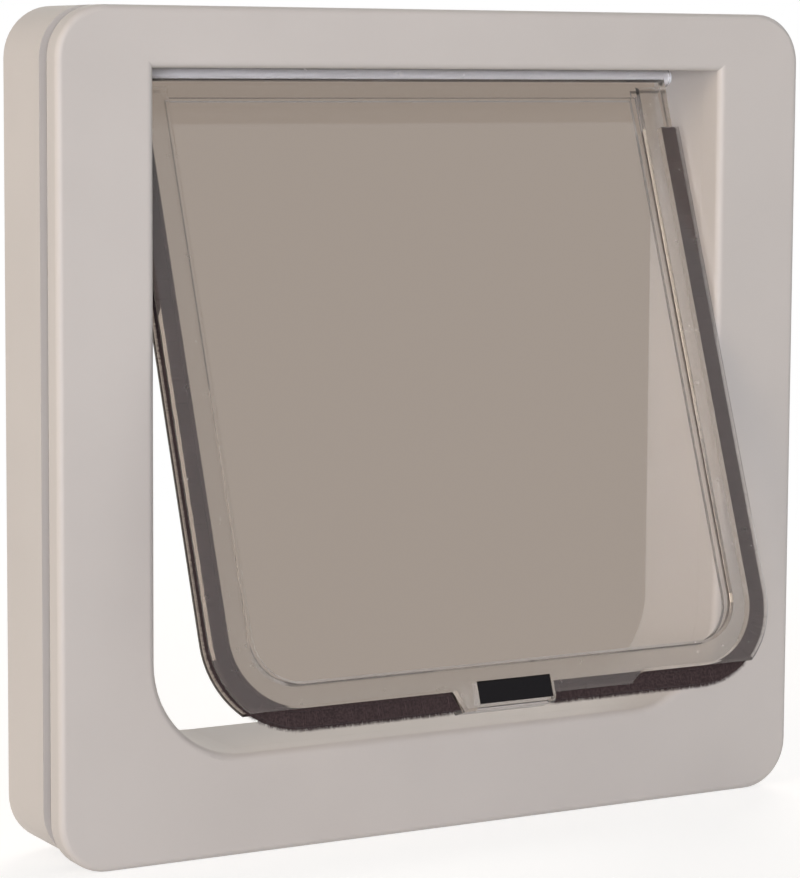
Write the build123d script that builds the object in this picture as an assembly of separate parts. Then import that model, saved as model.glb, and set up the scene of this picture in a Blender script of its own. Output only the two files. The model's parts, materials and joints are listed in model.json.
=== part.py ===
"""Cat flap: two clamped moulded frames, and a clear flap with pile strips that swings both ways on a rod.

Millimetres. X is the width, +Y runs from the front of the door to its back, +Z is up. The origin is in the
middle of the base, straight under the hinge axis. Every piece of the flap is drawn hanging shut, and then
swung open.
"""

import os

from build123d import *

# Frame outline
frame_width = 210.0
frame_height = 204.0
side_rail = 24.8
top_rail = 14.5
bottom_rail = 24.8
frame_corner_radius = 12.5
wall = 2.4
back_wall = 2.5
face_edge_radius = 1.6
back_edge_chamfer = 2.2

# Depths before and behind the hinge axis
front_depth = 24.0
back_depth = 9.5
outer_frame_depth = 5.5
door_gap = 4.5

# Foot under the inner frame, whose lower edge is a little higher than the outer frame's
foot_step = 1.4
foot_inset = 6.0

# Tunnel through both frames
tunnel_corner_radius = 24.0
mouth_radius = 1.8
back_mouth_edge = 1.2
tunnel_wall = 2.2
hinge_headroom = 2.0
parting_gap = 0.05
collar_wall = 2.0
collar_fit = 0.3
collar_end_gap = 1.1

# Screws that clamp the frames
lower_screw_rise = 5.2
upper_screw_drop = 13.6
screw_radius = 1.7
screw_pilot_clearance = 0.05
screw_hole_clearance = 0.5
screw_length = 15.5
screw_head_radius = 3.8
screw_head_height = 2.7
screw_drive_radius = 1.9
screw_drive_depth = 1.4
head_clearance = 0.6
post_radius = 4.0
post_fit = 0.25
post_end_gap = 0.3
pillar_wall = 2.0
pillar_web = 3.5
pillar_web_front = 3.0
cap_fit = 0.1
cap_recess = 0.2
cap_thickness = 2.4

# Hinge rod
hinge_drop = 1.9
rod_radius = 1.8
rod_seat_clearance = 0.03
rod_running_clearance = 0.06
hinge_boss_radius = 3.6
hinge_boss_length = 6.0
rod_cap_side = 6.0
rod_cap_length = 2.0

# Flap
flap_open_angle = 19.8
barrel_radius = 2.7
header_length = 6.4
header_thickness = 5.2
header_inset = 2.2
rim_thickness = 6.4
rim_width = 6.0
rim_edge = 0.7
pane_thickness = 3.0
corner_block_top = 3.6
lip_thickness = 1.3
lip_step = 0.3
lip_at_foot = 5.5

# Pile strips round the flap
pile_gap_side = 1.0
pile_gap_floor = 1.4
pile_depth = 5.8
pile_fit = 0.1
pile_top = 14.6
backing_thickness = 1.0
pile_inset = 0.3

# Magnet in the flap, its housing and the lock tab beside it
magnet_length = 20.4
magnet_height = 5.2
magnet_depth = 4.6
magnet_fit = 0.15
magnet_recess = 0.2
housing_floor = 1.6
housing_wall_right = 1.2
housing_wall_left = 4.1
housing_gusset = 2.5
housing_corner = 1.6
housing_foot_gap = 0.4
tab_length = 22.6
tab_drop = 2.6
tab_slope = 3.6

# Magnet under the tunnel floor
sill_magnet_length = 20.0
sill_magnet_width = 6.0
sill_magnet_height = 5.0
sill_magnet_fit = 0.2
pocket_wall = 1.4
retainer_thickness = 1.5

# Lock bolts and their thumb pieces
lock_centre = 24.0
bolt_width = 9.0
bolt_thickness = 1.8
bolt_flap_gap = 0.9
bolt_guide_gap = 0.3
bolt_floor_recess = 0.4
bolt_travel = 9.0
bolt_foot = 6.5
bolt_foot_height = 6.0
bridge_height = 2.5
guide_wall = 1.4
neck_width = 4.0
neck_height = 4.0
neck_foot = 7.2
neck_socket = 1.2
neck_fit = 0.1
thumb_width = 11.0
thumb_height = 7.0
thumb_thickness = 2.6
thumb_gap = 0.3
thumb_corner = 1.2
thumb_groove_width = 0.8
thumb_groove_depth = 0.6
thumb_groove_count = 3
lock_plate_thickness = 1.5
lock_plate_lift = 1.6

# Stiffening ribs in the hollow rails
rib_thickness = 1.6
rib_recess = 0.6
side_rib_count = 3
top_rib_count = 3
floor_rib_pitch = 28.0
floor_rib_steps = (-2, -1, 2)

# Planes worked out from the sizes above
half_width = frame_width / 2
tunnel_half = half_width - side_rail
floor_height = bottom_rail
lintel_height = frame_height - top_rail
front_y = -front_depth
back_y = back_depth
outer_back_y = front_y + outer_frame_depth
inner_front_y = outer_back_y + door_gap
parting_y = (outer_back_y + inner_front_y) / 2
back_inside_y = back_y - back_wall
ceiling_height = lintel_height + hinge_headroom
hinge_height = lintel_height - hinge_drop
floor_underside = floor_height - tunnel_wall
collar_grow = tunnel_wall + collar_fit + collar_wall
screw_x = (tunnel_half + collar_grow + half_width - wall) / 2
screw_heights = (floor_height + lower_screw_rise, hinge_height - upper_screw_drop)
screw_places = [(side * screw_x, height) for side in (-1, 1) for height in screw_heights]
pillar_radius = post_radius + post_fit + pillar_wall
web_front_y = -pillar_web_front
web_back_y = web_front_y + pillar_web
post_back_y = web_front_y - post_end_gap
counterbore_radius = screw_head_radius + head_clearance

# Flap places, as distances below the hinge axis and half widths
pile_half = tunnel_half - pile_gap_side
pile_tip = hinge_height - floor_height - pile_gap_floor
tip_radius = tunnel_corner_radius - pile_gap_side
core_half = pile_half - pile_depth
core_foot = pile_tip - pile_depth
core_radius = tip_radius - pile_depth
lip_foot = pile_tip - lip_at_foot
rim_half = rim_thickness / 2
groove_half = rim_half - lip_thickness
block_half = pile_half - header_inset
rod_half = tunnel_half + tunnel_wall + hinge_boss_length + rod_cap_length

# Lock places
bolt_near = rim_half + bolt_flap_gap
bolt_far = bolt_near + bolt_thickness
bolt_bay = bolt_width + 2 * bolt_guide_gap
bolt_pitch = bolt_bay + guide_wall
inward_bolt_x = lock_centre - bolt_pitch / 2
outward_bolt_x = lock_centre + bolt_pitch / 2
bolt_top = floor_height - bolt_floor_recess
guide_front_y = -bolt_far - bolt_guide_gap
collar_back_y = guide_front_y - lock_plate_thickness - collar_end_gap


def slab(profile, y_front, y_back):
    """Extrude a profile drawn in X and Z between two depths."""
    plane = Plane(origin=(0, y_back, 0), x_dir=(1, 0, 0), z_dir=(0, -1, 0))
    return extrude(plane * profile, amount=y_back - y_front)


def block(x_low, x_high, y_low, y_high, z_low, z_high):
    """A box between two corners."""
    size = Box(x_high - x_low, y_high - y_low, z_high - z_low)
    return Pos((x_low + x_high) / 2, (y_low + y_high) / 2, (z_low + z_high) / 2) * size


def rod_y(x, z, radius, y_low, y_high):
    """A cylinder along Y."""
    return Pos(x, (y_low + y_high) / 2, z) * Rot(90, 0, 0) * Cylinder(radius, y_high - y_low)


def rod_x(y, z, radius, x_low, x_high):
    """A cylinder along X."""
    return Pos((x_low + x_high) / 2, y, z) * Rot(0, 90, 0) * Cylinder(radius, x_high - x_low)


def plate_outline(inset, foot):
    """A frame's rounded outline from its foot's height to the top, drawn in from the edge."""
    height = frame_height - foot
    outline = RectangleRounded(frame_width - 2 * inset, height - 2 * inset, frame_corner_radius - inset)
    return Pos(0, foot + height / 2) * outline


def footed_outline(half, low, high, foot_radius):
    """A rectangle with rounded lower corners."""
    outline = Pos(0, (low + high) / 2) * Rectangle(2 * half, high - low)
    return fillet(outline.vertices().group_by(Axis.Y)[0], foot_radius)


def tunnel_outline(grow, top):
    """The tunnel's section, grown outwards by a wall."""
    return footed_outline(tunnel_half + grow, floor_height - grow, top + grow, tunnel_corner_radius + grow)


def flap_outline(half, foot, radius, top):
    """A flap outline from a top distance to a foot distance below the hinge axis."""
    return footed_outline(half, hinge_height - foot, hinge_height - top, radius)


def flap_strip(x_low, x_high, top, foot):
    """A plain rectangle on the flap, by distances below the hinge axis."""
    middle = Pos((x_low + x_high) / 2, hinge_height - (top + foot) / 2)
    return middle * Rectangle(x_high - x_low, foot - top)


def swing(piece):
    """Turn a piece of the flap about the hinge axis to the open angle."""
    return piece.rotate(Axis((0, 0, hinge_height), (1, 0, 0)), -flap_open_angle)


def rail_ribs(tunnel_grow, y_front, y_back, foot):
    """Ribs across a frame's hollow rails, from the skirt to the tunnel."""
    inner_x = tunnel_half + tunnel_grow / 2
    outer_x = half_width - wall / 2
    half_rib = rib_thickness / 2
    ribs = []
    low, high = screw_heights
    for number in range(side_rib_count):
        height = low + (high - low) * (number + 1) / (side_rib_count + 1)
        for side in (-1, 1):
            x_low, x_high = sorted((side * inner_x, side * outer_x))
            ribs.append(block(x_low, x_high, y_front, y_back, height - half_rib, height + half_rib))
    for number in range(top_rib_count):
        place = tunnel_half * (2 * (number + 1) / (top_rib_count + 1) - 1)
        z_low = ceiling_height + tunnel_grow / 2
        z_high = frame_height - wall / 2
        ribs.append(block(place - half_rib, place + half_rib, y_front, y_back, z_low, z_high))
    for step in floor_rib_steps:
        place = step * floor_rib_pitch
        z_high = floor_height - tunnel_grow / 2
        ribs.append(block(place - half_rib, place + half_rib, y_front, y_back, foot + wall / 2, z_high))
    return ribs


def make_outer_frame():
    """The front plate: face, skirt, tunnel mouth, collar, screw posts and ribs."""
    frame = slab(plate_outline(0, 0), front_y, outer_back_y)
    frame = fillet(frame.faces().sort_by(Axis.Y)[0].edges(), face_edge_radius)
    inside_y = front_y + wall
    frame -= slab(plate_outline(wall, 0), inside_y, outer_back_y)
    mouth_end_y = parting_y - parting_gap / 2
    frame += slab(tunnel_outline(collar_grow, ceiling_height), inside_y - wall / 2, collar_back_y)
    frame += rail_ribs(collar_grow, inside_y - wall / 2, outer_back_y - rib_recess, 0)
    for x, z in screw_places:
        frame += rod_y(x, z, post_radius, inside_y - wall / 2, post_back_y)
    for x, z in screw_places:
        pilot_end = web_back_y - screw_length - screw_pilot_clearance - post_end_gap
        frame -= rod_y(x, z, screw_radius + screw_pilot_clearance, pilot_end, post_back_y)
    frame -= slab(tunnel_outline(tunnel_wall + collar_fit, ceiling_height), mouth_end_y, collar_back_y)
    frame -= slab(tunnel_outline(0, lintel_height), front_y, mouth_end_y)
    face = frame.faces().filter_by(Axis.Y).sort_by(Axis.Y)[0]
    return fillet(face.inner_wires()[0].edges(), mouth_radius)


def add_hinge_bosses(frame):
    """Bosses outside the tunnel walls that carry the rod."""
    for side in (-1, 1):
        root = side * (tunnel_half + tunnel_wall / 2)
        tip = side * (tunnel_half + tunnel_wall + hinge_boss_length)
        x_low, x_high = sorted((root, tip))
        frame += rod_x(0, hinge_height, hinge_boss_radius, x_low, x_high)
    return frame - rod_x(0, hinge_height, rod_radius + rod_seat_clearance, -rod_half, rod_half)


def add_screw_pillars(frame):
    """Pillars that take the posts from the front and the screw heads from the back."""
    for x, z in screw_places:
        frame += rod_y(x, z, pillar_radius, inner_front_y, back_inside_y + back_wall / 2)
    for x, z in screw_places:
        frame -= rod_y(x, z, post_radius + post_fit, inner_front_y, web_front_y)
        frame -= rod_y(x, z, screw_radius + screw_hole_clearance, web_front_y, web_back_y)
        frame -= rod_y(x, z, counterbore_radius, web_back_y, back_y)
    return frame


def add_magnet_pocket(frame):
    """A pocket under the tunnel floor for the sill magnet and its retainer."""
    half_x = sill_magnet_length / 2 + sill_magnet_fit
    half_y = sill_magnet_width / 2 + sill_magnet_fit
    foot = floor_underside - sill_magnet_height - sill_magnet_fit - retainer_thickness
    top = floor_underside + tunnel_wall / 2
    frame += block(
        -half_x - pocket_wall, half_x + pocket_wall, -half_y - pocket_wall, half_y + pocket_wall, foot, top
    )
    return frame - block(-half_x, half_x, -half_y, half_y, foot, floor_underside)


def add_bolt_guides(frame):
    """Guide walls in the bottom rail, slots in the floor and slots in the back for the lock bolts."""
    walls = [
        inward_bolt_x - bolt_bay / 2 - guide_wall,
        inward_bolt_x + bolt_bay / 2,
        outward_bolt_x + bolt_bay / 2,
    ]
    for x in walls:
        z_low = foot_step + wall / 2
        z_high = floor_underside + tunnel_wall / 2
        frame += block(x, x + guide_wall, guide_front_y, back_inside_y + back_wall / 2, z_low, z_high)
    slot_half = bolt_width / 2 + bolt_guide_gap
    near = bolt_near - bolt_guide_gap
    far = bolt_far + bolt_guide_gap
    for x, y_low, y_high in ((inward_bolt_x, near, far), (outward_bolt_x, -far, -near)):
        frame -= block(x - slot_half, x + slot_half, y_low, y_high, floor_underside, floor_height)
        neck_half = neck_width / 2 + bolt_guide_gap
        slot_low = neck_foot - bolt_guide_gap
        slot_high = neck_foot + neck_height + bolt_travel + bolt_guide_gap
        frame -= block(x - neck_half, x + neck_half, back_inside_y, back_y, slot_low, slot_high)
    return frame


def make_inner_frame():
    """The back frame: skirt, back face, tunnel and everything that the flap and the lock need."""
    frame = slab(plate_outline(0, foot_step), inner_front_y, back_y)
    frame = chamfer(frame.faces().sort_by(Axis.Y)[-1].edges(), back_edge_chamfer)
    foot_half = tunnel_half - foot_inset
    frame += block(-foot_half, foot_half, inner_front_y, back_y - back_edge_chamfer, 0, foot_step + wall / 2)
    frame -= slab(plate_outline(wall, foot_step), inner_front_y, back_inside_y)
    tunnel_front_y = parting_y + parting_gap / 2
    frame += slab(tunnel_outline(tunnel_wall, ceiling_height), tunnel_front_y, back_y - back_wall / 2)
    frame += rail_ribs(tunnel_wall, collar_back_y + parting_gap, back_inside_y + back_wall / 2, foot_step)
    frame = add_screw_pillars(frame)
    frame = add_magnet_pocket(frame)
    frame -= slab(tunnel_outline(0, ceiling_height), tunnel_front_y, back_y)
    face = frame.faces().filter_by(Axis.Y).sort_by(Axis.Y)[-1]
    mouth = face.inner_wires().sort_by(SortBy.LENGTH)[-1]
    frame = chamfer(mouth.edges(), back_mouth_edge)
    frame = add_hinge_bosses(frame)
    return add_bolt_guides(frame)


def tab_outline():
    """The lock tab, which lowers the lips beside the magnet housing."""
    x_low = magnet_length / 2 + magnet_fit
    x_high = x_low + housing_wall_right + tab_length
    top = hinge_height - core_foot
    lip = hinge_height - lip_foot
    foot = lip - tab_drop
    x_end = x_high + tab_slope
    corners = [(x_low, top), (x_low, foot), (x_high, foot), (x_end, lip), (x_end, top)]
    return make_face(Polyline(*corners, close=True))


def housing_outline(grow, drop):
    """The magnet housing with its slanted left gusset, or the room for it when grown and dropped."""
    left = -magnet_length / 2 - magnet_fit - housing_wall_left
    right = magnet_length / 2 + magnet_fit + housing_wall_right + grow
    top = hinge_height - core_foot + rim_width
    lip = hinge_height - lip_foot
    foot = hinge_height - pile_tip + housing_foot_gap
    slope = housing_gusset / (lip - foot)
    gusset = left - housing_gusset - grow
    left_end = left - grow + slope * drop
    corners = [(gusset, top), (gusset, lip), (left_end, foot - drop), (right, foot - drop), (right, top)]
    return make_face(Polyline(*corners, close=True))


def make_flap_panel():
    """The clear moulding: barrel, header, pane, rim, lips, magnet housing and lock tab."""
    window_half = core_half - rim_width
    window_foot = core_foot - rim_width
    window_radius = core_radius - rim_width
    window = flap_outline(window_half, window_foot, window_radius, header_length)
    core = flap_outline(core_half, core_foot, core_radius, header_length)
    panel = slab(core, -rim_half, rim_half)
    for y_low, y_high in ((-rim_half, -pane_thickness / 2), (pane_thickness / 2, rim_half)):
        panel -= slab(window, y_low, y_high)
    lip_half = pile_half - lip_step
    lip_top = pile_top - pile_fit
    lips = flap_outline(lip_half, pile_tip - lip_step, tip_radius - lip_step, lip_top)
    lips &= flap_strip(-lip_half, lip_half, lip_top, lip_foot)
    lips = lips - core + tab_outline()
    for y_low, y_high in ((-rim_half, -groove_half), (groove_half, rim_half)):
        panel += slab(lips, y_low, y_high)
    for side in (-1, 1):
        x_low, x_high = sorted((side * (core_half - rim_width), side * block_half))
        panel += slab(flap_strip(x_low, x_high, corner_block_top, lip_top), -rim_half, rim_half)
    housing = housing_outline(0, 0)
    right_foot = housing.vertices().group_by(Axis.Y)[0].sort_by(Axis.X)[-1]
    panel += slab(fillet(right_foot, housing_corner), -rim_half, rim_half)
    for end in (0, -1):
        face = panel.faces().filter_by(Axis.Y).sort_by(Axis.Y)[end]
        panel = chamfer(face.edges(), rim_edge)
    header = flap_strip(-block_half, block_half, 0, header_length)
    panel += slab(header, -header_thickness / 2, header_thickness / 2)
    panel += rod_x(0, hinge_height, barrel_radius, -pile_half, pile_half)
    panel -= flap_magnet_body(magnet_fit, magnet_recess)
    panel -= rod_x(0, hinge_height, rod_radius + rod_running_clearance, -pile_half, pile_half)
    return swing(panel)


def flap_magnet_body(grow, forward):
    """The bar magnet's place in its housing, or its pocket when grown and opened forward."""
    half = magnet_length / 2 + grow
    low = hinge_height - pile_tip + housing_foot_gap + housing_floor - grow
    high = low + magnet_height + 2 * grow
    y_low = -rim_half + magnet_recess - forward
    y_high = -rim_half + magnet_recess + magnet_depth + grow
    return block(-half, half, y_low, y_high, low, high)


def pile_ring(from_depth, to_depth):
    """The channel's outline between two depths above the flap's core."""
    outer = flap_outline(core_half + to_depth, core_foot + to_depth, core_radius + to_depth, pile_top)
    inner = flap_outline(core_half + from_depth, core_foot + from_depth, core_radius + from_depth, pile_top)
    return outer - inner


def make_pile_strip(side):
    """Backing tape and pile for one side of the flap, up to the magnet housing."""
    strip = slab(pile_ring(pile_fit, backing_thickness), -groove_half + pile_fit, groove_half - pile_fit)
    strip += slab(pile_ring(pile_fit, pile_depth), -groove_half + pile_inset, groove_half - pile_inset)
    strip -= slab(housing_outline(pile_fit, housing_foot_gap + pile_fit), -rim_half, rim_half)
    x_low, x_high = sorted((0, side * half_width))
    strip &= block(x_low, x_high, -rim_half, rim_half, 0, hinge_height)
    return swing(strip)


def make_hinge_rod():
    """The rod that the flap turns on."""
    return rod_x(0, hinge_height, rod_radius, -rod_half, rod_half)


def make_rod_caps():
    """Push-on caps at both ends of the rod."""
    caps = []
    for side in (-1, 1):
        x_low, x_high = sorted((side * (rod_half - rod_cap_length), side * rod_half))
        half = rod_cap_side / 2
        cap = block(x_low, x_high, -half, half, hinge_height - half, hinge_height + half)
        caps.append(cap - rod_x(0, hinge_height, rod_radius + rod_seat_clearance, x_low, x_high))
    return Compound(children=caps)


def make_sill_magnet():
    """The magnet that draws the flap shut, right under the tunnel floor."""
    half_x = sill_magnet_length / 2
    half_y = sill_magnet_width / 2
    return block(-half_x, half_x, -half_y, half_y, floor_underside - sill_magnet_height, floor_underside)


def make_magnet_retainer():
    """The plate pressed into the pocket under the sill magnet."""
    half_x = sill_magnet_length / 2 + sill_magnet_fit / 2
    half_y = sill_magnet_width / 2 + sill_magnet_fit / 2
    top = floor_underside - sill_magnet_height
    return block(-half_x, half_x, -half_y, half_y, top - retainer_thickness, top)


def bolt_neck(x):
    """The neck that joins a bolt to its thumb piece through the back face."""
    y_end = back_y + thumb_gap + neck_socket
    return block(x - neck_width / 2, x + neck_width / 2, bolt_near, y_end, neck_foot, neck_foot + neck_height)


def make_inward_bolt():
    """The bolt behind the flap, which stops it swinging inwards when raised."""
    half = bolt_width / 2
    x = inward_bolt_x
    return block(x - half, x + half, bolt_near, bolt_far, bolt_foot, bolt_top) + bolt_neck(x)


def make_outward_bolt():
    """The bolt before the flap, carried by a bridge from the back face."""
    half = bolt_width / 2
    x = outward_bolt_x
    bolt = block(x - half, x + half, -bolt_far, -bolt_near, bolt_foot, bolt_top)
    bolt += block(x - half, x + half, -bolt_far, bolt_far, bolt_foot, bolt_foot + bridge_height)
    bolt += block(x - half, x + half, bolt_near, bolt_far, bolt_foot, bolt_foot + bolt_foot_height)
    return bolt + bolt_neck(x)


def make_thumb(x):
    """A grooved thumb piece that clips on a bolt's neck."""
    y_low = back_y + thumb_gap
    y_high = y_low + thumb_thickness
    middle = neck_foot + neck_height / 2
    face = Pos(x, middle) * Rectangle(thumb_width, thumb_height)
    thumb = slab(chamfer(face.vertices(), thumb_corner), y_low, y_high)
    pitch = thumb_height / (thumb_groove_count + 1)
    groove = Box(2 * thumb_width, 2 * thumb_groove_depth, thumb_groove_width)
    for number in range(thumb_groove_count):
        thumb -= Pos(x, y_high, middle - thumb_height / 2 + pitch * (number + 1)) * groove
    half_x = neck_width / 2 + neck_fit
    half_z = neck_height / 2 + neck_fit
    return thumb - block(
        x - half_x, x + half_x, y_low, y_low + neck_socket + neck_fit, middle - half_z, middle + half_z
    )


def make_lock_retainer():
    """The plate across the front of the guides, which keeps the bolts in."""
    x_low = inward_bolt_x - bolt_bay / 2 - guide_wall
    x_high = outward_bolt_x + bolt_bay / 2 + guide_wall
    z_low = foot_step + wall + lock_plate_lift
    z_high = floor_underside - lock_plate_lift
    return block(x_low, x_high, guide_front_y - lock_plate_thickness, guide_front_y, z_low, z_high)


def make_clamp_screws():
    """Pan-head screws from the back of the inner frame into the outer frame's posts."""
    screws = []
    for x, z in screw_places:
        head_top = web_back_y + screw_head_height
        screw = rod_y(x, z, screw_radius, web_back_y - screw_length, web_back_y)
        screw += rod_y(x, z, screw_head_radius, web_back_y, head_top)
        drive = Pos(x, z) * RegularPolygon(screw_drive_radius, 6)
        screws.append(screw - slab(drive, head_top - screw_drive_depth, head_top))
    return Compound(children=screws)


def make_screw_caps():
    """Plugs that close the screw holes flush with the back face."""
    caps = []
    for x, z in screw_places:
        y_high = back_y - cap_recess
        caps.append(rod_y(x, z, counterbore_radius - cap_fit, y_high - cap_thickness, y_high))
    return Compound(children=caps)


pieces = {
    "outer_frame": make_outer_frame(),
    "inner_frame": make_inner_frame(),
    "flap_panel": make_flap_panel(),
    "flap_magnet": swing(flap_magnet_body(0, 0)),
    "pile_strip_left": make_pile_strip(-1),
    "pile_strip_right": make_pile_strip(1),
    "hinge_rod": make_hinge_rod(),
    "rod_caps": make_rod_caps(),
    "sill_magnet": make_sill_magnet(),
    "magnet_retainer": make_magnet_retainer(),
    "lock_bolt_inward": make_inward_bolt(),
    "lock_bolt_outward": make_outward_bolt(),
    "lock_thumb_inward": make_thumb(inward_bolt_x),
    "lock_thumb_outward": make_thumb(outward_bolt_x),
    "lock_retainer": make_lock_retainer(),
    "clamp_screws": make_clamp_screws(),
    "screw_caps": make_screw_caps(),
}

os.makedirs("parts", exist_ok=True)
for name, piece in pieces.items():
    export_step(piece, f"parts/{name}.step")
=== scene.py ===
"""Cat flap: finishes its frames, clear flap, fittings and lock, grows its pile strips and sets its stage."""

import json
import math

import bmesh
import bpy
from bpy.props import FloatProperty, FloatVectorProperty, IntProperty, PointerProperty
from mathutils import Matrix, Vector


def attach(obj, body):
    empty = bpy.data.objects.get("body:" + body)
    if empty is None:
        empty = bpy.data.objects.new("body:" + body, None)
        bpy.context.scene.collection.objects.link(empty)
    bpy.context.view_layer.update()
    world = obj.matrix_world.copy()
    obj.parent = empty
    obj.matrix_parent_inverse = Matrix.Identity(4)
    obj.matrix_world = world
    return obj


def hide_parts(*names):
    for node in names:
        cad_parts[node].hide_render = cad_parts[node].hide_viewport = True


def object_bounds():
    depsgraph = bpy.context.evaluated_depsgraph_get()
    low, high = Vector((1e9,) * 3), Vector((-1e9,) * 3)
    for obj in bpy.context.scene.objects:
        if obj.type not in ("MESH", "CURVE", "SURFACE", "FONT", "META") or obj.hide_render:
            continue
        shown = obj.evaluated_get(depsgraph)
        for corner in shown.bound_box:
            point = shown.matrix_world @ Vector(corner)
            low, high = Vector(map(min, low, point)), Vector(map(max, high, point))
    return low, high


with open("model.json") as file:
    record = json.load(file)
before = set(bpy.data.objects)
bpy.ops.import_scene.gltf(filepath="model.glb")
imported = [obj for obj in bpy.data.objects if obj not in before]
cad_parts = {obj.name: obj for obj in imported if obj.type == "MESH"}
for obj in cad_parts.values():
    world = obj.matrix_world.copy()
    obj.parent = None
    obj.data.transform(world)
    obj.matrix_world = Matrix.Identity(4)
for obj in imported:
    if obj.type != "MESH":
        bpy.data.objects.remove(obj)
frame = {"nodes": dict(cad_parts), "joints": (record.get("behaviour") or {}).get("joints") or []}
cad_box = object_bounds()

bl_info = {
    "name": "Cat Flap Dresser",
    "version": (1, 0, 0),
    "blender": (4, 5, 0),
    "location": "View3D > Sidebar > Cat Flap",
    "description": "Finishes a cat flap's frames, clear flap, pile strips and lock, and sets its stage",
    "category": "Object",
}

MM = 0.001
PICTURE_WIDTH = 800
PICTURE_HEIGHT = 878

# Camera as fitted to the edges of the frame, with the row of the picture that its axis meets
CAMERA_PLACE = Vector((-394.1, -692.0, 189.8)) * MM
CAMERA_YAW, CAMERA_PITCH, CAMERA_ROLL = (math.radians(angle) for angle in (-29.63, -5.93, -0.32))
CAMERA_SENSOR = 36
CAMERA_AXIS_ROW = 395

# Each light's width and height, place and colour, and whether gloss and the clear flap show it
LIGHTS = {
    "key": {"size": (1.2, 1.8), "place": (-2.72, -1.0, 1.0), "colour": "#FFEAD2", "mirrored": True},
    "fill": {"size": (0.6, 0.6), "place": (-0.9, -1.6, 0.15), "colour": "#EDEFFB", "mirrored": True},
    "back": {"size": (2.0, 2.0), "place": (1.75, 2.4, 1.4), "colour": "#FFF7EF", "mirrored": False},
}

# Pile strip: the tape's gap to the channel's floor, and its dense heart and tufts as shares of the strip
TAPE_GAP = 0.1 * MM
HEART_DEPTH = 0.8
HEART_WIDTH = 0.84
TUFTS_WIDTH = 0.8
CORNER_STEPS = 14

# The hinge swings as far inwards as outwards, so the flap hangs shut in the middle of its range
hinge_joint = next(joint for joint in frame["joints"] if joint["name"] == "flap_swing")
hinge_point = Vector(hinge_joint["pos_m"])
open_angle = -math.radians(sum(hinge_joint["range_deg"]) / 2)
hinge_turn = Matrix.Rotation(open_angle, 4, Vector(hinge_joint["axis"]))
swing_open = Matrix.Translation(hinge_point) @ hinge_turn @ Matrix.Translation(-hinge_point)
flap_normal = hinge_turn.to_3x3() @ Vector((0, 1, 0))

FLAP_NODES = ("flap_panel",)
FRAME_NODES = ("outer_frame", "inner_frame", "rod_caps", "magnet_retainer", "lock_retainer", "screw_caps")
LOCK_NODES = ("lock_bolt_inward", "lock_bolt_outward", "lock_thumb_inward", "lock_thumb_outward")
MAGNET_NODES = ("flap_magnet", "sill_magnet")
STEEL_NODES = ("clamp_screws",)
ROD_NODES = ("hinge_rod",)
PILE_NODES = ("pile_strip_left", "pile_strip_right")


def linear(hex_colour):
    """A hex sRGB colour as linear red, green, blue and alpha."""
    channels = [int(hex_colour[place : place + 2], 16) / 255 for place in (1, 3, 5)]
    curved = [c / 12.92 if c <= 0.04045 else ((c + 0.055) / 1.055) ** 2.4 for c in channels]
    return (*curved, 1.0)


def shut_box(node):
    """A flap node's lowest and highest corners with the flap hanging shut."""
    swing_shut = swing_open.inverted()
    points = [swing_shut @ vertex.co for vertex in frame["nodes"][node].data.vertices]
    low = Vector(min(point[axis] for point in points) for axis in range(3))
    high = Vector(max(point[axis] for point in points) for axis in range(3))
    return low, high


class CatFlapPlastic(bpy.types.PropertyGroup):
    """Moulded frames, lock and clear flap"""

    frame_colour: FloatVectorProperty(
        name="Frame Colour", description="Off-white of the moulded frames", subtype="COLOR", size=4,
        min=0, max=1, default=linear("#C8C3BE"),
    )
    lock_colour: FloatVectorProperty(
        name="Lock Colour", description="Off-white of the lock bolts and thumb pieces",
        subtype="COLOR", size=4, min=0, max=1, default=linear("#C5BFB9"),
    )
    grain: FloatProperty(
        name="Grain", description="Width of the mould's eroded grain", subtype="DISTANCE", unit="LENGTH",
        min=0.0001, default=0.45 * MM,
    )
    rod_colour: FloatVectorProperty(
        name="Rod Colour", description="White of the hinge rod", subtype="COLOR", size=4,
        min=0, max=1, default=linear("#F1F3F6"),
    )
    flap_colour: FloatVectorProperty(
        name="Flap Colour", description="What the clear flap lets through", subtype="COLOR", size=4,
        min=0, max=1, default=linear("#F4F2F0"),
    )


class CatFlapPile(bpy.types.PropertyGroup):
    """Nylon pile strips round the flap"""

    colour: FloatVectorProperty(
        name="Pile Colour", description="Colour of the pile's fibres", subtype="COLOR", size=4,
        min=0, max=1, default=linear("#46393A"),
    )
    depth: FloatProperty(
        name="Depth", description="From the channel's floor to the fibres' tips",
        subtype="DISTANCE", unit="LENGTH", min=0.001, default=5.8 * MM,
    )
    corner_radius: FloatProperty(
        name="Corner Radius", description="Radius of the fibres' tips round the flap's lower corners",
        subtype="DISTANCE", unit="LENGTH", min=0.008, default=23.0 * MM,
    )
    tape: FloatProperty(
        name="Tape", description="Thickness of the backing tape", subtype="DISTANCE", unit="LENGTH",
        min=0.0001, default=1.0 * MM,
    )
    fibre: FloatProperty(
        name="Fibre", description="Thickness of a tuft of fibres at its root",
        subtype="DISTANCE", unit="LENGTH", min=0.00005, default=0.3 * MM,
    )
    tufts: FloatProperty(
        name="Tufts", description="Tufts in a square millimetre of tape", min=0.5, default=22.0,
    )
    lean: FloatProperty(
        name="Lean", description="How far a tuft leans out of upright", subtype="ANGLE", unit="ROTATION",
        min=0, default=math.radians(5.0),
    )
    end_slope: FloatProperty(
        name="End Slope", description="Slope of the left strip's end beside the magnet housing",
        subtype="ANGLE", unit="ROTATION", min=0, default=math.radians(26.1),
    )
    seed: IntProperty(name="Seed", description="Seed of the tufts' places", min=0, default=7)


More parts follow.
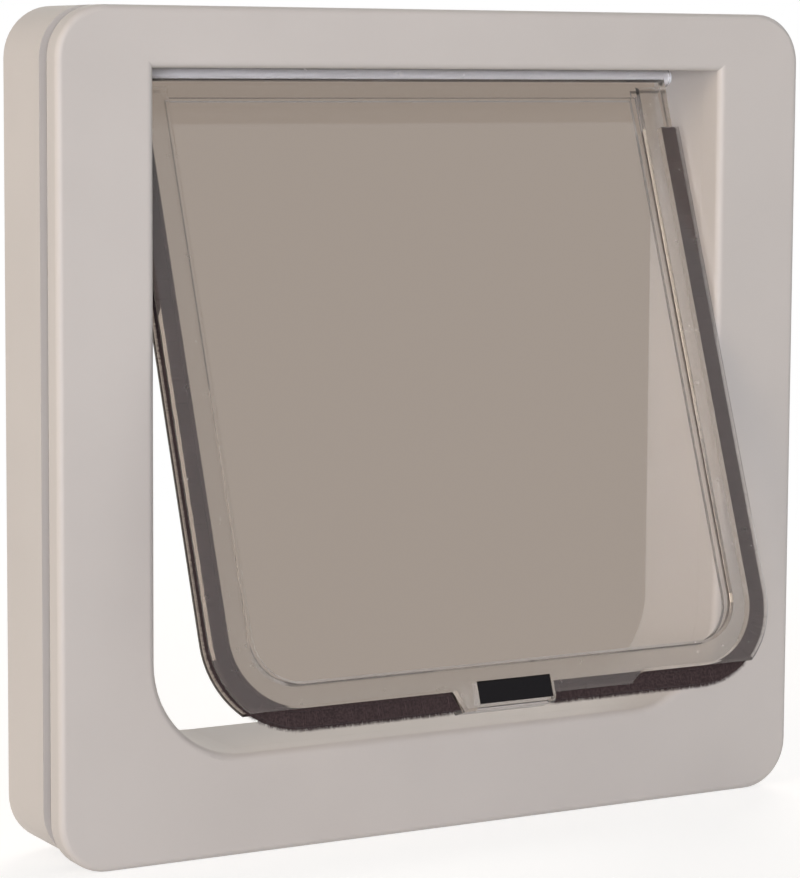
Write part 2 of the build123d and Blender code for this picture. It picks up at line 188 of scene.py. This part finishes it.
class CatFlapStage(bpy.types.PropertyGroup):
    """Floor, light and camera"""

    floor_colour: FloatVectorProperty(
        name="Floor Colour", description="Colour of the floor", subtype="COLOR", size=4,
        min=0, max=1, default=linear("#F2F1EF"),
    )
    room_colour: FloatVectorProperty(
        name="Room Colour", description="Pale backdrop that shows through the flap", subtype="COLOR", size=4,
        min=0, max=1, default=linear("#A89C92"),
    )
    key_power: FloatProperty(
        name="Key Power", description="Power of the main light", unit="POWER", min=0, default=36.0,
    )
    fill_power: FloatProperty(
        name="Fill Power", description="Power of the cooler light from the front",
        unit="POWER", min=0, default=22.0,
    )
    back_power: FloatProperty(
        name="Back Power", description="Power of the light from behind", unit="POWER", min=0, default=64.0,
    )
    ambient: FloatProperty(
        name="Ambient", description="Strength of the light from all round", min=0, default=0.29,
    )
    lens: FloatProperty(
        name="Lens", description="Focal length on a 36 mm frame",
        subtype="DISTANCE_CAMERA", min=10, default=129.2,
    )


class CatFlapSettings(bpy.types.PropertyGroup):
    """Sizes and colours of the cat flap"""

    plastic: PointerProperty(type=CatFlapPlastic)
    pile: PointerProperty(type=CatFlapPile)
    stage: PointerProperty(type=CatFlapStage)


def add(tree, kind, inputs=None, **settings):
    """Add a node with its settings, and give each named input a value or a link."""
    node = tree.nodes.new(kind)
    for name, value in settings.items():
        setattr(node, name, value)
    for socket, value in (inputs or {}).items():
        if isinstance(value, bpy.types.NodeSocket):
            tree.links.new(value, node.inputs[socket])
        else:
            node.inputs[socket].default_value = value
    return node


def new_material(name):
    """An empty material's node tree with its output."""
    material = bpy.data.materials.new(name)
    material.use_nodes = True
    material.node_tree.nodes.clear()
    return material, material.node_tree


def moulded_abs(name, colour, grain):
    """Moulded ABS from an eroded tool: satin, with a fine even grain and faint flow shading."""
    material, tree = new_material(name)
    place = add(tree, "ShaderNodeTexCoord").outputs["Object"]
    flow_width = 45 * MM
    grain_depth = 0.03 * MM
    flow = add(tree, "ShaderNodeTexNoise", {"Vector": place, "Scale": 1 / flow_width, "Detail": 2.0})
    shade = add(
        tree, "ShaderNodeMapRange",
        {"Value": flow.outputs["Fac"], "From Min": 0.3, "From Max": 0.7, "To Min": 0.965, "To Max": 1.015},
    )
    tint = add(
        tree, "ShaderNodeMix", {0: 1.0, 6: colour, 7: shade.outputs["Result"]},
        data_type="RGBA", blend_type="MULTIPLY",
    )
    # A real eroded grain is finer, and is drawn wide enough to show
    speckle = add(tree, "ShaderNodeTexNoise", {"Vector": place, "Scale": 1 / grain, "Detail": 3.0})
    roughness = add(
        tree, "ShaderNodeMapRange", {"Value": speckle.outputs["Fac"], "To Min": 0.42, "To Max": 0.58}
    )
    bump = add(
        tree, "ShaderNodeBump", {"Height": speckle.outputs["Fac"], "Strength": 0.35, "Distance": grain_depth}
    )
    shader = add(
        tree, "ShaderNodeBsdfPrincipled",
        {
            "Base Color": tint.outputs[2],
            "Roughness": roughness.outputs["Result"],
            "Normal": bump.outputs["Normal"],
            "IOR": 1.53,
            "Specular IOR Level": 0.4,
        },
    )
    add(tree, "ShaderNodeOutputMaterial", {"Surface": shader.outputs["BSDF"]})
    return material


def clear_moulding(name, colour):
    """Moulded polycarbonate: polished and faintly smoked in the pane, darker where it is thicker.

    It has a moulding's ripple and faint scuffs, is duller on the rim's faces and round the hinge barrel, and
    lets lamplight through.
    """
    material, tree = new_material(name)
    place = add(tree, "ShaderNodeTexCoord").outputs["Object"]
    ripple_width = 30 * MM
    ripple_depth = 0.1 * MM
    scuff_width = 3 * MM
    # How far off the flap's middle the rim's dull faces start, and how far out the barrel's dull skin ends
    rim_start, rim_full, rim_dullness = 3.0 * MM, 3.15 * MM, 0.2
    barrel_full, barrel_end, barrel_dullness = 2.8 * MM, 3.2 * MM, 0.2
    ripple = add(tree, "ShaderNodeTexNoise", {"Vector": place, "Scale": 1 / ripple_width, "Detail": 1.0})
    bump = add(
        tree, "ShaderNodeBump", {"Height": ripple.outputs["Fac"], "Strength": 0.1, "Distance": ripple_depth}
    )
    scuffs = add(tree, "ShaderNodeTexNoise", {"Vector": place, "Scale": 1 / scuff_width, "Detail": 5.0})
    roughness = add(
        tree, "ShaderNodeMapRange",
        {"Value": scuffs.outputs["Fac"], "From Min": 0.35, "From Max": 0.75, "To Min": 0.03, "To Max": 0.08},
    )
    from_hinge = add(tree, "ShaderNodeVectorMath", {0: place, 1: hinge_point}, operation="SUBTRACT")
    off_middle = add(
        tree, "ShaderNodeVectorMath", {0: from_hinge.outputs[0], 1: flap_normal}, operation="DOT_PRODUCT"
    )
    proud = add(tree, "ShaderNodeMath", {0: off_middle.outputs["Value"]}, operation="ABSOLUTE")
    duller = add(
        tree, "ShaderNodeMapRange",
        {
            "Value": proud.outputs[0],
            "From Min": rim_start,
            "From Max": rim_full,
            "To Min": 0.0,
            "To Max": rim_dullness,
        },
    )
    round_hinge = add(
        tree, "ShaderNodeVectorMath", {0: from_hinge.outputs[0], 1: (0, 1, 1)}, operation="MULTIPLY"
    )
    from_axis = add(tree, "ShaderNodeVectorMath", {0: round_hinge.outputs[0]}, operation="LENGTH")
    barrel = add(
        tree, "ShaderNodeMapRange",
        {
            "Value": from_axis.outputs["Value"],
            "From Min": barrel_full,
            "From Max": barrel_end,
            "To Min": barrel_dullness,
            "To Max": 0.0,
        },
    )
    dullest = add(
        tree, "ShaderNodeMath",
        {0: duller.outputs["Result"], 1: barrel.outputs["Result"]}, operation="MAXIMUM",
    )
    dull = add(tree, "ShaderNodeMath", {0: roughness.outputs["Result"], 1: dullest.outputs[0]})
    shader = add(
        tree, "ShaderNodeBsdfPrincipled",
        {
            "Base Color": colour,
            "Roughness": dull.outputs[0],
            "IOR": 1.57,
            "Transmission Weight": 1.0,
            "Normal": bump.outputs["Normal"],
        },
    )
    one_surface = [math.sqrt(channel) for channel in colour]
    passing = add(tree, "ShaderNodeBsdfTransparent", {"Color": one_surface})
    shadow = add(tree, "ShaderNodeLightPath").outputs["Is Shadow Ray"]
    shown = add(tree, "ShaderNodeMixShader", {0: shadow, 1: shader.outputs["BSDF"], 2: passing.outputs[0]})
    smoke = add(tree, "ShaderNodeVolumeAbsorption", {"Color": linear("#B0ABA6"), "Density": 45.0})
    add(tree, "ShaderNodeOutputMaterial", {"Surface": shown.outputs[0], "Volume": smoke.outputs[0]})
    return material


def nylon_pile(name, colour):
    """Dense nylon pile: soft and dull, with each tuft a little lighter or darker and its heart speckled."""
    material, tree = new_material(name)
    tuft = add(tree, "ShaderNodeAttribute", attribute_name="tuft")
    place = add(tree, "ShaderNodeTexCoord").outputs["Object"]
    clump_width = 0.6 * MM
    clumps = add(tree, "ShaderNodeTexNoise", {"Vector": place, "Scale": 1 / clump_width, "Detail": 2.0})
    matted = add(
        tree, "ShaderNodeMapRange",
        {"Value": clumps.outputs["Fac"], "From Min": 0.35, "From Max": 0.65, "To Min": 0.0, "To Max": 0.45},
    )
    paler = add(
        tree, "ShaderNodeMath", {0: tuft.outputs["Fac"], 1: matted.outputs["Result"]}, operation="MAXIMUM"
    )
    shade = add(tree, "ShaderNodeMapRange", {"Value": paler.outputs[0], "To Min": 0.5, "To Max": 1.5})
    tint = add(
        tree, "ShaderNodeMix", {0: 1.0, 6: colour, 7: shade.outputs["Result"]},
        data_type="RGBA", blend_type="MULTIPLY",
    )
    shader = add(
        tree, "ShaderNodeBsdfPrincipled",
        {"Base Color": tint.outputs[2], "Roughness": 0.8, "Specular IOR Level": 0.15, "Sheen Weight": 0.05},
    )
    add(tree, "ShaderNodeOutputMaterial", {"Surface": shader.outputs["BSDF"]})
    return material


def sintered_ferrite(name):
    """Sintered ferrite: charcoal black, with a fine dull grain."""
    material, tree = new_material(name)
    place = add(tree, "ShaderNodeTexCoord").outputs["Object"]
    grit_width = 0.4 * MM
    grit_depth = 0.04 * MM
    grit = add(tree, "ShaderNodeTexNoise", {"Vector": place, "Scale": 1 / grit_width, "Detail": 4.0})
    colours = add(
        tree, "ShaderNodeMix",
        {0: grit.outputs["Fac"], 6: linear("#0A090B"), 7: linear("#171518")}, data_type="RGBA",
    )
    bump = add(
        tree, "ShaderNodeBump", {"Height": grit.outputs["Fac"], "Strength": 0.4, "Distance": grit_depth}
    )
    shader = add(
        tree, "ShaderNodeBsdfPrincipled",
        {
            "Base Color": colours.outputs[2],
            "Roughness": 0.55,
            "Specular IOR Level": 0.12,
            "Normal": bump.outputs["Normal"],
        },
    )
    add(tree, "ShaderNodeOutputMaterial", {"Surface": shader.outputs["BSDF"]})
    return material


def drawn_steel(name):
    """Drawn stainless steel: bright, with fine lines along its length."""
    material, tree = new_material(name)
    place = add(tree, "ShaderNodeTexCoord").outputs["Object"]
    line_length = 9 * MM
    line_width = 0.12 * MM
    stretched = add(
        tree, "ShaderNodeMapping",
        {"Vector": place, "Scale": (1 / line_length, 1 / line_width, 1 / line_width)},
    )
    lines = add(
        tree, "ShaderNodeTexNoise", {"Vector": stretched.outputs["Vector"], "Scale": 1.0, "Detail": 2.0}
    )
    roughness = add(
        tree, "ShaderNodeMapRange", {"Value": lines.outputs["Fac"], "To Min": 0.2, "To Max": 0.38}
    )
    shader = add(
        tree, "ShaderNodeBsdfPrincipled",
        {"Base Color": linear("#BEBDBA"), "Metallic": 1.0, "Roughness": roughness.outputs["Result"]},
    )
    add(tree, "ShaderNodeOutputMaterial", {"Surface": shader.outputs["BSDF"]})
    return material


def finish_nodes(names, material):
    """Give CAD nodes a finish."""
    for name in names:
        mesh = frame["nodes"][name].data
        mesh.materials.clear()
        mesh.materials.append(material)


def settings():
    """The scene's cat flap settings."""
    return bpy.context.scene.cat_flap


def strip_path(low, high, side, depth, pile):
    """Points along one pile strip with the flap shut, at a depth above the channel's floor."""
    inset = pile.depth - depth
    half = (high.x if side > 0 else -low.x) - inset
    foot = low.z + inset
    radius = pile.corner_radius - inset
    end = low.x if side > 0 else -high.x + inset * math.tan(pile.end_slope)
    points = [(half, high.z)]
    for step in range(CORNER_STEPS + 1):
        turn = math.pi / 2 * step / CORNER_STEPS
        points.append((half - radius + radius * math.cos(turn), foot + radius - radius * math.sin(turn)))
    points.append((end, foot))
    return [(side * x, z) for x, z in points]


def add_run(shape, inner, outer, half_width, bed, marked):
    """Add a closed run of tape or pile between two paths, with the outer faces marked as the bed or not."""
    outer_side = 2
    rings = []
    for (x_in, z_in), (x_out, z_out) in zip(inner, outer):
        near = [(x_in, -half_width, z_in), (x_in, half_width, z_in)]
        far = [(x_out, half_width, z_out), (x_out, -half_width, z_out)]
        rings.append([shape.verts.new(corner) for corner in near + far])
    for first, second in zip(rings, rings[1:]):
        for corner in range(4):
            other = (corner + 1) % 4
            face = shape.faces.new((first[corner], first[other], second[other], second[corner]))
            face[bed] = marked and corner == outer_side
    shape.faces.new(rings[0])
    shape.faces.new(list(reversed(rings[-1])))


def strip_mesh(node, side, pile):
    """Backing tape with a dense heart of pile on it, with the flap shut. The tape's outer face is marked."""
    low, high = shut_box(node)
    half_tape = high.y
    depths = (TAPE_GAP, pile.tape, HEART_DEPTH * pile.depth)
    floor_path, tape_path, heart_path = (strip_path(low, high, side, depth, pile) for depth in depths)
    shape = bmesh.new()
    bed = shape.faces.layers.bool.new("bed")
    add_run(shape, floor_path, tape_path, half_tape, bed, marked=True)
    add_run(shape, tape_path, heart_path, HEART_WIDTH * half_tape, bed, marked=False)
    bmesh.ops.recalc_face_normals(shape, faces=shape.faces)
    mesh = bpy.data.meshes.new(node + "_tape")
    shape.to_mesh(mesh)
    shape.free()
    return mesh


def tuft_tree(material):
    """Geometry nodes that stand tapered tufts on a tape's marked faces.

    A tuft stands for a bundle of fibres, which are too fine to show one by one.
    """
    shortest = 0.9
    shade_seed = 3
    sizes = ("Length", "Thickness", "Density", "Lean", "Half Width")
    tree = bpy.data.node_groups.new("pile_tufts", "GeometryNodeTree")
    sockets = {
        "Tape": "NodeSocketGeometry",
        **dict.fromkeys(sizes, "NodeSocketFloat"),
        "Seed": "NodeSocketInt",
    }
    for name, kind in sockets.items():
        tree.interface.new_socket(name=name, in_out="INPUT", socket_type=kind)
    tree.interface.new_socket(name="Strip", in_out="OUTPUT", socket_type="NodeSocketGeometry")
    given = add(tree, "NodeGroupInput").outputs
    bed = add(tree, "GeometryNodeInputNamedAttribute", {"Name": "bed"}, data_type="BOOLEAN")
    roots = add(
        tree, "GeometryNodeDistributePointsOnFaces",
        {
            "Mesh": given["Tape"],
            "Selection": bed.outputs["Attribute"],
            "Density": given["Density"],
            "Seed": given["Seed"],
        },
    )
    spot = add(tree, "ShaderNodeSeparateXYZ", {0: add(tree, "GeometryNodeInputPosition").outputs[0]})
    from_middle = add(tree, "ShaderNodeMath", {0: spot.outputs["Y"]}, operation="ABSOLUTE")
    at_lip = add(
        tree, "ShaderNodeMath", {0: from_middle.outputs[0], 1: given["Half Width"]}, operation="GREATER_THAN"
    )
    kept = add(
        tree, "GeometryNodeDeleteGeometry",
        {"Geometry": roots.outputs["Points"], "Selection": at_lip.outputs[0]}, domain="POINT",
    )
    thick = add(tree, "ShaderNodeMath", {0: given["Thickness"], 1: 0.5}, operation="MULTIPLY")
    tuft = add(
        tree, "GeometryNodeMeshCone",
        {
            "Vertices": 3,
            "Side Segments": 1,
            "Radius Top": 0.0,
            "Radius Bottom": thick.outputs[0],
            "Depth": given["Length"],
        },
        fill_type="NGON",
    )
    back = add(tree, "ShaderNodeMath", {0: given["Lean"], 1: -1.0}, operation="MULTIPLY")
    low_lean = add(tree, "ShaderNodeCombineXYZ", {0: back.outputs[0], 1: back.outputs[0], 2: -math.pi})
    high_lean = add(tree, "ShaderNodeCombineXYZ", {0: given["Lean"], 1: given["Lean"], 2: math.pi})
    lean = add(
        tree, "FunctionNodeRandomValue",
        {0: low_lean.outputs[0], 1: high_lean.outputs[0], "Seed": given["Seed"]}, data_type="FLOAT_VECTOR",
    )
    leaning = add(tree, "FunctionNodeEulerToRotation", {0: lean.outputs[0]})
    turned = add(
        tree, "FunctionNodeRotateRotation",
        {"Rotation": roots.outputs["Rotation"], "Rotate By": leaning.outputs[0]}, rotation_space="LOCAL",
    )
    height = add(
        tree, "FunctionNodeRandomValue", {2: shortest, 3: 1.0, "Seed": given["Seed"]}, data_type="FLOAT"
    )
    scale = add(tree, "ShaderNodeCombineXYZ", {0: 1.0, 1: 1.0, 2: height.outputs[1]})
    stood = add(
        tree, "GeometryNodeInstanceOnPoints",
        {
            "Points": kept.outputs["Geometry"],
            "Instance": tuft.outputs["Mesh"],
            "Rotation": turned.outputs[0],
            "Scale": scale.outputs[0],
        },
    )
    chance = add(tree, "FunctionNodeRandomValue", {2: 0.0, 3: 1.0, "Seed": shade_seed}, data_type="FLOAT")
    shaded = add(
        tree, "GeometryNodeStoreNamedAttribute",
        {"Geometry": stood.outputs["Instances"], "Name": "tuft", "Value": chance.outputs[1]},
        data_type="FLOAT", domain="INSTANCE",
    )
    joined = add(tree, "GeometryNodeJoinGeometry", {"Geometry": given["Tape"]})
    tree.links.new(shaded.outputs["Geometry"], joined.inputs["Geometry"])
    real = add(tree, "GeometryNodeRealizeInstances", {"Geometry": joined.outputs["Geometry"]})
    finished = add(
        tree, "GeometryNodeSetMaterial", {"Geometry": real.outputs["Geometry"], "Material": material}
    )
    add(tree, "NodeGroupOutput", {"Strip": finished.outputs["Geometry"]})
    return tree


def grow_strip(node, side, tree, pile):
    """One pile strip as a plain mesh, standing for its CAD solid."""
    base = bpy.data.objects.new(node + "_tape", strip_mesh(node, side, pile))
    bpy.context.scene.collection.objects.link(base)
    modifier = base.modifiers.new("tufts", "NODES")
    modifier.node_group = tree
    values = {
        "Length": pile.depth - pile.tape,
        "Thickness": pile.fibre,
        "Density": pile.tufts / MM**2,
        "Lean": pile.lean,
        "Half Width": TUFTS_WIDTH * shut_box(node)[1].y,
        "Seed": pile.seed,
    }
    for item in tree.interface.items_tree:
        if item.name in values:
            modifier[item.identifier] = values[item.name]
    evaluated = base.evaluated_get(bpy.context.evaluated_depsgraph_get())
    mesh = bpy.data.meshes.new_from_object(evaluated)
    bpy.data.objects.remove(base)
    mesh.transform(swing_open)
    strip = bpy.data.objects.new(node.replace("strip", "tufts"), mesh)
    bpy.context.scene.collection.objects.link(strip)
    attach(strip, "flap")
    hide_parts(node)


class CATFLAP_OT_frames(bpy.types.Operator):
    """Finish the moulded frames and the small pieces fixed in them"""

    bl_idname = "cat_flap.frames"
    bl_label = "Finish Frames"

    def execute(self, context):
        plastic = settings().plastic
        finish_nodes(FRAME_NODES, moulded_abs("moulded_abs_off_white", plastic.frame_colour, plastic.grain))
        return {"FINISHED"}


class CATFLAP_OT_lock(bpy.types.Operator):
    """Finish the lock bolts and their thumb pieces"""

    bl_idname = "cat_flap.lock"
    bl_label = "Finish Lock"

    def execute(self, context):
        plastic = settings().plastic
        finish_nodes(LOCK_NODES, moulded_abs("moulded_acetal_off_white", plastic.lock_colour, plastic.grain))
        return {"FINISHED"}


class CATFLAP_OT_flap(bpy.types.Operator):
    """Finish the clear flap"""

    bl_idname = "cat_flap.flap"
    bl_label = "Finish Flap"

    def execute(self, context):
        plastic = settings().plastic
        finish_nodes(FLAP_NODES, clear_moulding("moulded_polycarbonate_clear", plastic.flap_colour))
        return {"FINISHED"}


class CATFLAP_OT_fittings(bpy.types.Operator):
    """Finish the magnets, the hinge rod and the screws"""

    bl_idname = "cat_flap.fittings"
    bl_label = "Finish Fittings"

    def execute(self, context):
        finish_nodes(MAGNET_NODES, sintered_ferrite("sintered_ferrite_black"))
        finish_nodes(STEEL_NODES, drawn_steel("drawn_stainless_steel"))
        plastic = settings().plastic
        finish_nodes(ROD_NODES, moulded_abs("extruded_acetal_white", plastic.rod_colour, plastic.grain))
        return {"FINISHED"}


class CATFLAP_OT_pile(bpy.types.Operator):
    """Grow the pile strips in the flap's channel"""

    bl_idname = "cat_flap.pile"
    bl_label = "Grow Pile"

    def execute(self, context):
        pile = settings().pile
        tree = tuft_tree(nylon_pile("nylon_pile_charcoal", pile.colour))
        for node, side in zip(PILE_NODES, (-1, 1)):
            grow_strip(node, side, tree, pile)
        return {"FINISHED"}


def seen_backdrop(tree, room_colour):
    """Factors that are 1 where the backdrop is seen, and where it is seen through the flap, and its colour.

    The colour is the room's through the flap, and white elsewhere.
    """
    path = add(tree, "ShaderNodeLightPath").outputs
    through = path["Is Transmission Ray"]
    plain = add(
        tree, "ShaderNodeMath", {0: path["Is Camera Ray"], 1: path["Is Glossy Ray"]}, operation="MAXIMUM"
    )
    seen = add(tree, "ShaderNodeMath", {0: plain.outputs[0], 1: through}, operation="MAXIMUM")
    colour = add(tree, "ShaderNodeMix", {0: through, 6: (1, 1, 1, 1), 7: room_colour}, data_type="RGBA")
    return seen.outputs[0], through, colour.outputs[2]


def make_floor(colour, room_colour):
    """A wide plain floor that is white away from the object and keeps its shadow."""
    floor_half = 3.0
    fade_start, fade_end = 0.2, 0.6
    lift_strength, lift_share = 1.42, 0.5
    shape = bmesh.new()
    bmesh.ops.create_grid(shape, x_segments=1, y_segments=1, size=floor_half)
    mesh = bpy.data.meshes.new("floor")
    shape.to_mesh(mesh)
    shape.free()
    floor = bpy.data.objects.new("floor", mesh)
    bpy.context.scene.collection.objects.link(floor)
    floor.location.z = cad_box[0].z
    material, tree = new_material("painted_studio_floor")
    seen, through, backdrop = seen_backdrop(tree, room_colour)
    paint = add(tree, "ShaderNodeBsdfDiffuse", {"Color": colour})
    lift = add(tree, "ShaderNodeEmission", {"Color": backdrop, "Strength": lift_strength})
    near = add(tree, "ShaderNodeMixShader", {0: lift_share, 1: paint.outputs[0], 2: lift.outputs[0]})
    plain = add(tree, "ShaderNodeEmission", {"Color": backdrop, "Strength": 1.0})
    place = add(tree, "ShaderNodeTexCoord").outputs["Object"]
    away = add(tree, "ShaderNodeVectorMath", {0: place}, operation="LENGTH")
    fade = add(
        tree, "ShaderNodeMapRange",
        {"Value": away.outputs["Value"], "From Min": fade_start, "From Max": fade_end},
        interpolation_type="SMOOTHSTEP",
    )
    bare = add(tree, "ShaderNodeMath", {0: fade.outputs["Result"], 1: through}, operation="MAXIMUM")
    lit = add(tree, "ShaderNodeMixShader", {0: bare.outputs[0], 1: near.outputs[0], 2: plain.outputs[0]})
    shown = add(tree, "ShaderNodeMixShader", {0: seen, 1: paint.outputs[0], 2: lit.outputs[0]})
    add(tree, "ShaderNodeOutputMaterial", {"Surface": shown.outputs[0]})
    mesh.materials.append(material)


def make_world(ambient, room_colour):
    """White or the pale room where it is seen, and soft light from all round on the object."""
    world = bpy.data.worlds.new("studio")
    world.use_nodes = True
    tree = world.node_tree
    tree.nodes.clear()
    seen, _, backdrop = seen_backdrop(tree, room_colour)
    soft = add(tree, "ShaderNodeBackground", {"Color": (1, 1, 1, 1), "Strength": ambient})
    plain = add(tree, "ShaderNodeBackground", {"Color": backdrop, "Strength": 1.0})
    shown = add(tree, "ShaderNodeMixShader", {0: seen, 1: soft.outputs[0], 2: plain.outputs[0]})
    add(tree, "ShaderNodeOutputWorld", {"Surface": shown.outputs[0]})
    bpy.context.scene.world = world


def make_light(name, power, aim, size, place, colour, mirrored):
    """A soft light that looks at a point."""
    data = bpy.data.lights.new(name, "AREA")
    data.energy = power
    data.shape = "RECTANGLE"
    data.size, data.size_y = size
    data.color = linear(colour)[:3]
    light = bpy.data.objects.new(name, data)
    light.location = place
    light.rotation_euler = (aim - Vector(place)).to_track_quat("-Z", "Y").to_euler()
    light.visible_glossy = mirrored
    light.visible_transmission = mirrored
    bpy.context.scene.collection.objects.link(light)


def make_camera(lens):
    """The camera at the picture's viewing angle."""
    turns = ((CAMERA_YAW, "Z"), (CAMERA_PITCH, "X"), (CAMERA_ROLL, "Y"), (math.radians(90), "X"))
    pose = Matrix.Translation(CAMERA_PLACE)
    for angle, axis in turns:
        pose = pose @ Matrix.Rotation(angle, 4, axis)
    data = bpy.data.cameras.new("camera")
    data.lens = lens
    data.sensor_width = CAMERA_SENSOR
    data.shift_y = (CAMERA_AXIS_ROW - PICTURE_HEIGHT / 2) / max(PICTURE_WIDTH, PICTURE_HEIGHT)
    data.clip_start = 0.01
    camera = bpy.data.objects.new("camera", data)
    camera.matrix_world = pose
    bpy.context.scene.collection.objects.link(camera)
    bpy.context.scene.camera = camera


class CATFLAP_OT_stage(bpy.types.Operator):
    """Set the floor, the lights and the camera"""

    bl_idname = "cat_flap.stage"
    bl_label = "Set Stage"

    def execute(self, context):
        stage = settings().stage
        middle = (cad_box[0] + cad_box[1]) / 2
        make_floor(stage.floor_colour, stage.room_colour)
        make_world(stage.ambient, stage.room_colour)
        powers = {"key": stage.key_power, "fill": stage.fill_power, "back": stage.back_power}
        for name, power in powers.items():
            make_light(name, power, middle, **LIGHTS[name])
        make_camera(stage.lens)
        context.scene.view_settings.view_transform = "Standard"
        return {"FINISHED"}


class CATFLAP_PT_dresser(bpy.types.Panel):
    """Pieces, sizes and colours of the cat flap"""

    bl_idname = "CATFLAP_PT_dresser"
    bl_label = "Cat Flap"
    bl_space_type = "VIEW_3D"
    bl_region_type = "UI"
    bl_category = "Cat Flap"

    def draw(self, context):
        for operator in OPERATORS:
            self.layout.operator(operator.bl_idname)
        for group in (settings().plastic, settings().pile, settings().stage):
            box = self.layout.box()
            for name in group.__annotations__:
                box.prop(group, name)


OPERATORS = (
    CATFLAP_OT_frames,
    CATFLAP_OT_lock,
    CATFLAP_OT_flap,
    CATFLAP_OT_fittings,
    CATFLAP_OT_pile,
    CATFLAP_OT_stage,
)
CLASSES = (CatFlapPlastic, CatFlapPile, CatFlapStage, CatFlapSettings, *OPERATORS, CATFLAP_PT_dresser)


def register():
    """Register the classes and the scene's settings."""
    for cls in CLASSES:
        bpy.utils.register_class(cls)
    bpy.types.Scene.cat_flap = PointerProperty(type=CatFlapSettings)


def unregister():
    """Remove the scene's settings and the classes."""
    del bpy.types.Scene.cat_flap
    for cls in reversed(CLASSES):
        bpy.utils.unregister_class(cls)


def main():
    """Dress the cat flap and set its stage."""
    register()
    bpy.ops.cat_flap.frames()
    bpy.ops.cat_flap.lock()
    bpy.ops.cat_flap.flap()
    bpy.ops.cat_flap.fittings()
    bpy.ops.cat_flap.pile()
    bpy.ops.cat_flap.stage()


if __name__ == "__main__":
    main()
